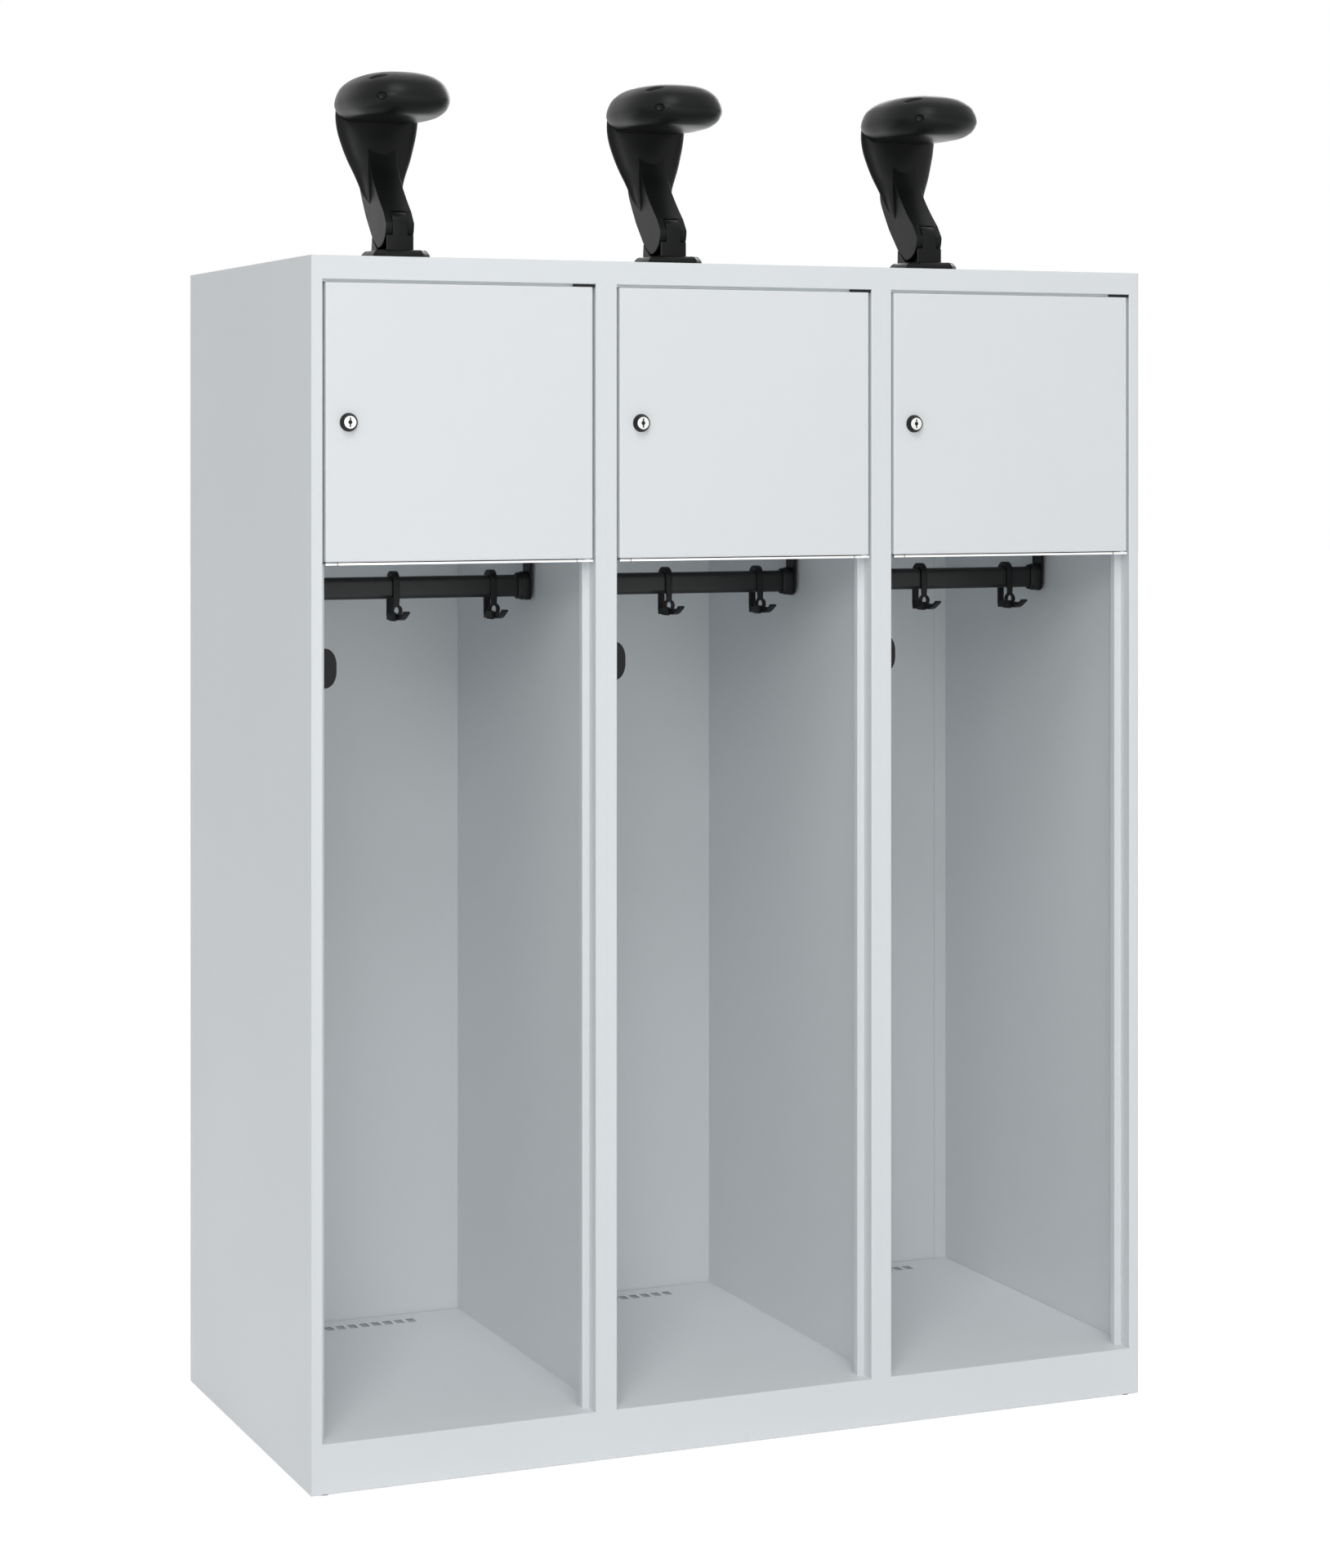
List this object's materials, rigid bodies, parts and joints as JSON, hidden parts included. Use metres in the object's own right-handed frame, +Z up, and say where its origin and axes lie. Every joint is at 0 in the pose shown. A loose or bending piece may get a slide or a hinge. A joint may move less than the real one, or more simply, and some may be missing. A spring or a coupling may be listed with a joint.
{
  "type": "gear locker",
  "caption": "Open-front sheet-steel gear locker with hanging bays, lockable upper compartments, rails with sliding hooks and folding helmet holders on the roof.",
  "frame": {"origin": "centre of the bounding box's base, on the floor under the feet", "axes": "+Z up; the doors face -Y; +X runs to the right along the front"},
  "size_m": [1.2, 0.558, 1.8137],
  "materials": {
    "cabinet_coat": "light grey powder coat, fine satin",
    "door_coat": "light grey powder coat, fine satin",
    "black_plastic": "black moulded plastic",
    "holder_plastic": "black moulded plastic with a soft sheen",
    "rail_coat": "black powder coat",
    "lock_chrome": "nickel-plated, satin face",
    "zinc": "zinc-plated"
  },
  "bodies": {
    "cabinet": {"left_side_panel": "cabinet_coat", "right_side_panel": "cabinet_coat", "divider_1": "cabinet_coat", "divider_2": "cabinet_coat", "roof_panel": "cabinet_coat", "base_panel": "cabinet_coat", "back_panel": "cabinet_coat", "shelf_1": "cabinet_coat", "shelf_2": "cabinet_coat", "shelf_3": "cabinet_coat", "foot_1": "black_plastic", "foot_2": "black_plastic", "foot_3": "black_plastic", "foot_4": "black_plastic", "rail_bracket_1_left": "black_plastic", "rail_bracket_1_right": "black_plastic", "rail_bracket_2_left": "black_plastic", "rail_bracket_2_right": "black_plastic", "rail_bracket_3_left": "black_plastic", "rail_bracket_3_right": "black_plastic", "garment_rail_1": "rail_coat", "garment_rail_2": "rail_coat", "garment_rail_3": "rail_coat", "hinge_bush_1": "black_plastic", "hinge_bush_2": "black_plastic", "hinge_bush_3": "black_plastic", "belt_hook_1": "black_plastic", "belt_hook_2": "black_plastic", "belt_hook_3": "black_plastic", "helmet_base_1": "holder_plastic", "helmet_base_2": "holder_plastic", "helmet_base_3": "holder_plastic"},
    "door_body_1": {"door_1": "door_coat", "lock_rosette_1": "black_plastic"},
    "door_body_2": {"door_2": "door_coat", "lock_rosette_2": "black_plastic"},
    "door_body_3": {"door_3": "door_coat", "lock_rosette_3": "black_plastic"},
    "lock_body_1": {"lock_cylinder_1": "lock_chrome", "lock_cam_1": "zinc"},
    "lock_body_2": {"lock_cylinder_2": "lock_chrome", "lock_cam_2": "zinc"},
    "lock_body_3": {"lock_cylinder_3": "lock_chrome", "lock_cam_3": "zinc"},
    "hook_body_1_1": {"hook_1_1": "black_plastic"},
    "hook_body_1_2": {"hook_1_2": "black_plastic"},
    "hook_body_1_3": {"hook_1_3": "black_plastic"},
    "hook_body_2_1": {"hook_2_1": "black_plastic"},
    "hook_body_2_2": {"hook_2_2": "black_plastic"},
    "hook_body_2_3": {"hook_2_3": "black_plastic"},
    "hook_body_3_1": {"hook_3_1": "black_plastic"},
    "hook_body_3_2": {"hook_3_2": "black_plastic"},
    "hook_body_3_3": {"hook_3_3": "black_plastic"},
    "helmet_body_1": {"helmet_arm_1": "holder_plastic", "helmet_head_1": "holder_plastic"},
    "helmet_body_2": {"helmet_arm_2": "holder_plastic", "helmet_head_2": "holder_plastic"},
    "helmet_body_3": {"helmet_arm_3": "holder_plastic", "helmet_head_3": "holder_plastic"}
  },
  "joints": [
    {"name": "door_1_hinge", "type": "hinge", "parent": "cabinet", "child": "door_body_1", "pos_m": [-0.2248, -0.266, 1.1668], "axis": [0, 0, 1], "range_deg": [0, 110]},
    {"name": "door_2_hinge", "type": "hinge", "parent": "cabinet", "child": "door_body_2", "pos_m": [0.1752, -0.266, 1.1668], "axis": [0, 0, 1], "range_deg": [0, 110]},
    {"name": "door_3_hinge", "type": "hinge", "parent": "cabinet", "child": "door_body_3", "pos_m": [0.5752, -0.266, 1.1668], "axis": [0, 0, 1], "range_deg": [0, 110]},
    {"name": "lock_1_turn", "type": "hinge", "parent": "door_body_1", "child": "lock_body_1", "pos_m": [-0.5512, -0.271, 1.3423], "axis": [0, 1, 0], "range_deg": [0, 90]},
    {"name": "lock_2_turn", "type": "hinge", "parent": "door_body_2", "child": "lock_body_2", "pos_m": [-0.1512, -0.271, 1.3423], "axis": [0, 1, 0], "range_deg": [0, 90]},
    {"name": "lock_3_turn", "type": "hinge", "parent": "door_body_3", "child": "lock_body_3", "pos_m": [0.2488, -0.271, 1.3423], "axis": [0, 1, 0], "range_deg": [0, 90]},
    {"name": "hook_1_1_slide", "type": "slide", "parent": "cabinet", "child": "hook_body_1_1", "axis": [1, 0, 0], "range_m": [-0.028, 0.05]},
    {"name": "hook_1_2_slide", "type": "slide", "parent": "cabinet", "child": "hook_body_1_2", "axis": [1, 0, 0], "range_m": [-0.05, 0.05]},
    {"name": "hook_1_3_slide", "type": "slide", "parent": "cabinet", "child": "hook_body_1_3", "axis": [1, 0, 0], "range_m": [-0.05, 0.028]},
    {"name": "hook_2_1_slide", "type": "slide", "parent": "cabinet", "child": "hook_body_2_1", "axis": [1, 0, 0], "range_m": [-0.028, 0.05]},
    {"name": "hook_2_2_slide", "type": "slide", "parent": "cabinet", "child": "hook_body_2_2", "axis": [1, 0, 0], "range_m": [-0.05, 0.05]},
    {"name": "hook_2_3_slide", "type": "slide", "parent": "cabinet", "child": "hook_body_2_3", "axis": [1, 0, 0], "range_m": [-0.05, 0.028]},
    {"name": "hook_3_1_slide", "type": "slide", "parent": "cabinet", "child": "hook_body_3_1", "axis": [1, 0, 0], "range_m": [-0.028, 0.05]},
    {"name": "hook_3_2_slide", "type": "slide", "parent": "cabinet", "child": "hook_body_3_2", "axis": [1, 0, 0], "range_m": [-0.05, 0.05]},
    {"name": "hook_3_3_slide", "type": "slide", "parent": "cabinet", "child": "hook_body_3_3", "axis": [1, 0, 0], "range_m": [-0.05, 0.028]},
    {"name": "helmet_1_fold", "type": "hinge", "parent": "cabinet", "child": "helmet_body_1", "pos_m": [-0.4, -0.021, 1.6105], "axis": [1, 0, 0], "range_deg": [0, 75]},
    {"name": "helmet_2_fold", "type": "hinge", "parent": "cabinet", "child": "helmet_body_2", "pos_m": [0, -0.021, 1.6105], "axis": [1, 0, 0], "range_deg": [0, 75]},
    {"name": "helmet_3_fold", "type": "hinge", "parent": "cabinet", "child": "helmet_body_3", "pos_m": [0.4, -0.021, 1.6105], "axis": [1, 0, 0], "range_deg": [0, 75]}
  ]
}
